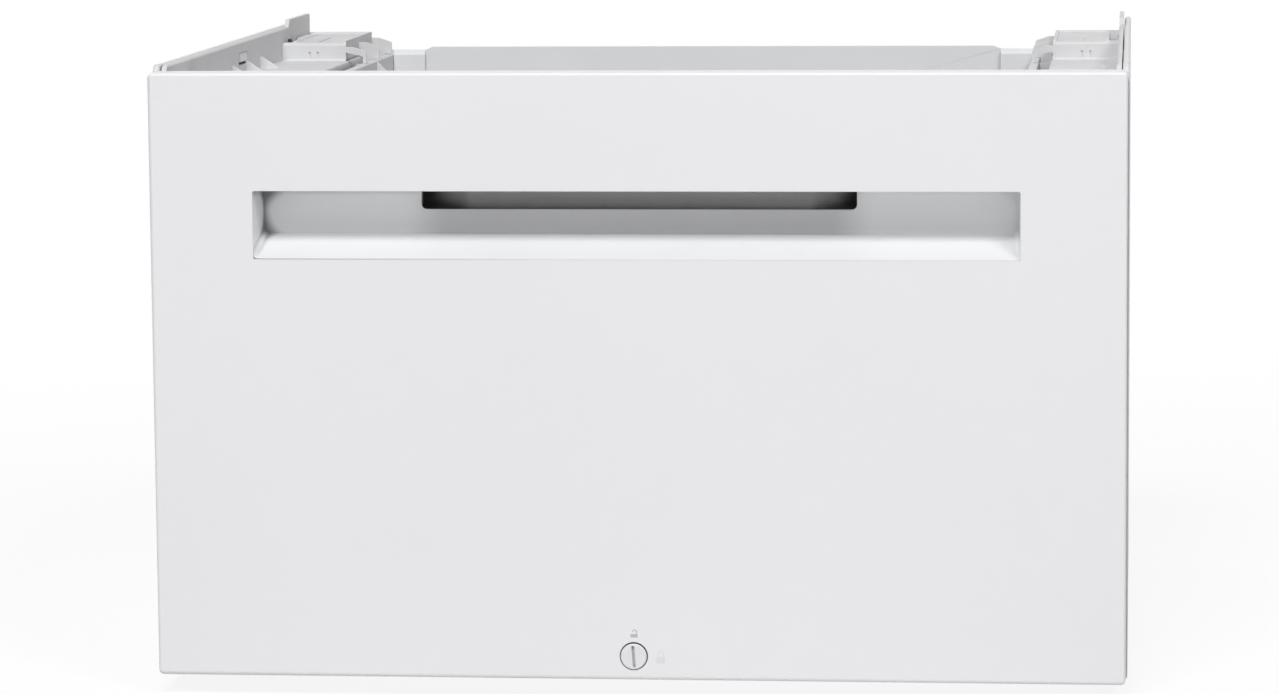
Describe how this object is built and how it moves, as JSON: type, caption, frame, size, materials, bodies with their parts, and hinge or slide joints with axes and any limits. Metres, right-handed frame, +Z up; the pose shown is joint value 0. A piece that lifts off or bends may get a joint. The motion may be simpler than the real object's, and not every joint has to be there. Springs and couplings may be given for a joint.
{
  "type": "washer pedestal drawer",
  "caption": "Steel and moulded plastic pedestal under a front-loading washer, with a deep drawer on telescopic slides, a recessed handle, a coin lock and levelling feet.",
  "frame": {"origin": "centre of the footprint, on the floor", "axes": "+X to the right, +Y to the back, +Z up; the drawer's panel faces -Y and the drawer opens towards -Y"},
  "size_m": [0.598, 0.551, 0.3923],
  "materials": {
    "white_paint": "satin",
    "inner_paint": "satin",
    "moulding": "matte",
    "trough_plastic": "satin",
    "dark_plastic": "matte",
    "zinc": "zinc plated",
    "rubber": "matte"
  },
  "bodies": {
    "carcass": {"side_skin_left": "white_paint", "side_skin_right": "white_paint", "side_frame_left": "moulding", "side_frame_right": "moulding", "rear_platform_left": "moulding", "rear_platform_right": "moulding", "front_platform_left": "moulding", "front_platform_right": "moulding", "slide_outer_left": "zinc", "slide_outer_right": "zinc", "back_panel": "inner_paint", "base_tray": "zinc", "lower_rail": "zinc", "upper_rail": "zinc", "lock_strike": "zinc", "foot_nut_front_left": "zinc", "foot_nut_front_right": "zinc", "foot_nut_rear_left": "zinc", "foot_nut_rear_right": "zinc"},
    "drawer": {"front_skin": "white_paint", "handle_trough": "trough_plastic", "finger_pocket": "dark_plastic", "front_backing": "inner_paint", "drawer_floor": "inner_paint", "drawer_back": "inner_paint", "drawer_side_left": "inner_paint", "drawer_side_right": "inner_paint", "front_bracket_left": "zinc", "front_bracket_right": "zinc", "slide_inner_left": "zinc", "slide_inner_right": "zinc", "bumper_left": "rubber", "bumper_right": "rubber", "lock_body": "zinc", "lock_nut": "zinc"},
    "lock": {"lock_knob": "trough_plastic", "lock_cam": "zinc", "cam_screw": "zinc"},
    "slide_middle_left": {"slide_middle_left": "zinc"},
    "slide_middle_right": {"slide_middle_right": "zinc"},
    "outer_cage_left": {"outer_cage_left": "zinc"},
    "outer_cage_right": {"outer_cage_right": "zinc"},
    "inner_cage_left": {"inner_cage_left": "zinc"},
    "inner_cage_right": {"inner_cage_right": "zinc"},
    "foot_front_left": {"foot_pad_front_left": "dark_plastic", "foot_stud_front_left": "zinc"},
    "foot_front_right": {"foot_pad_front_right": "dark_plastic", "foot_stud_front_right": "zinc"},
    "foot_rear_left": {"foot_pad_rear_left": "dark_plastic", "foot_stud_rear_left": "zinc"},
    "foot_rear_right": {"foot_pad_rear_right": "dark_plastic", "foot_stud_rear_right": "zinc"}
  },
  "joints": [
    {"name": "drawer_slide", "type": "slide", "parent": "carcass", "child": "drawer", "axis": [0, -1, 0], "range_m": [0, 0.44]},
    {"name": "lock_turn", "type": "hinge", "parent": "drawer", "child": "lock", "pos_m": [-0.002, -0.2735, 0.0267], "axis": [0, 1, 0], "range_deg": [0, 90]},
    {"name": "middle_slide_left", "type": "slide", "parent": "carcass", "child": "slide_middle_left", "axis": [0, -1, 0], "range_m": [0, 0.22]},
    {"name": "middle_slide_right", "type": "slide", "parent": "carcass", "child": "slide_middle_right", "axis": [0, -1, 0], "range_m": [0, 0.22]},
    {"name": "outer_cage_slide_left", "type": "slide", "parent": "carcass", "child": "outer_cage_left", "axis": [0, -1, 0], "range_m": [0, 0.11]},
    {"name": "outer_cage_slide_right", "type": "slide", "parent": "carcass", "child": "outer_cage_right", "axis": [0, -1, 0], "range_m": [0, 0.11]},
    {"name": "inner_cage_slide_left", "type": "slide", "parent": "carcass", "child": "inner_cage_left", "axis": [0, -1, 0], "range_m": [0, 0.33]},
    {"name": "inner_cage_slide_right", "type": "slide", "parent": "carcass", "child": "inner_cage_right", "axis": [0, -1, 0], "range_m": [0, 0.33]},
    {"name": "foot_screw_front_left", "type": "slide", "parent": "carcass", "child": "foot_front_left", "axis": [0, 0, -1], "range_m": [0, 0.01]},
    {"name": "foot_screw_front_right", "type": "slide", "parent": "carcass", "child": "foot_front_right", "axis": [0, 0, -1], "range_m": [0, 0.01]},
    {"name": "foot_screw_rear_left", "type": "slide", "parent": "carcass", "child": "foot_rear_left", "axis": [0, 0, -1], "range_m": [0, 0.01]},
    {"name": "foot_screw_rear_right", "type": "slide", "parent": "carcass", "child": "foot_rear_right", "axis": [0, 0, -1], "range_m": [0, 0.01]}
  ],
  "couplings": [
    {"joint": "middle_slide_left", "follows": "drawer_slide", "ratio": 0.5},
    {"joint": "middle_slide_right", "follows": "drawer_slide", "ratio": 0.5},
    {"joint": "outer_cage_slide_left", "follows": "drawer_slide", "ratio": 0.25},
    {"joint": "outer_cage_slide_right", "follows": "drawer_slide", "ratio": 0.25},
    {"joint": "inner_cage_slide_left", "follows": "drawer_slide", "ratio": 0.75},
    {"joint": "inner_cage_slide_right", "follows": "drawer_slide", "ratio": 0.75}
  ]
}
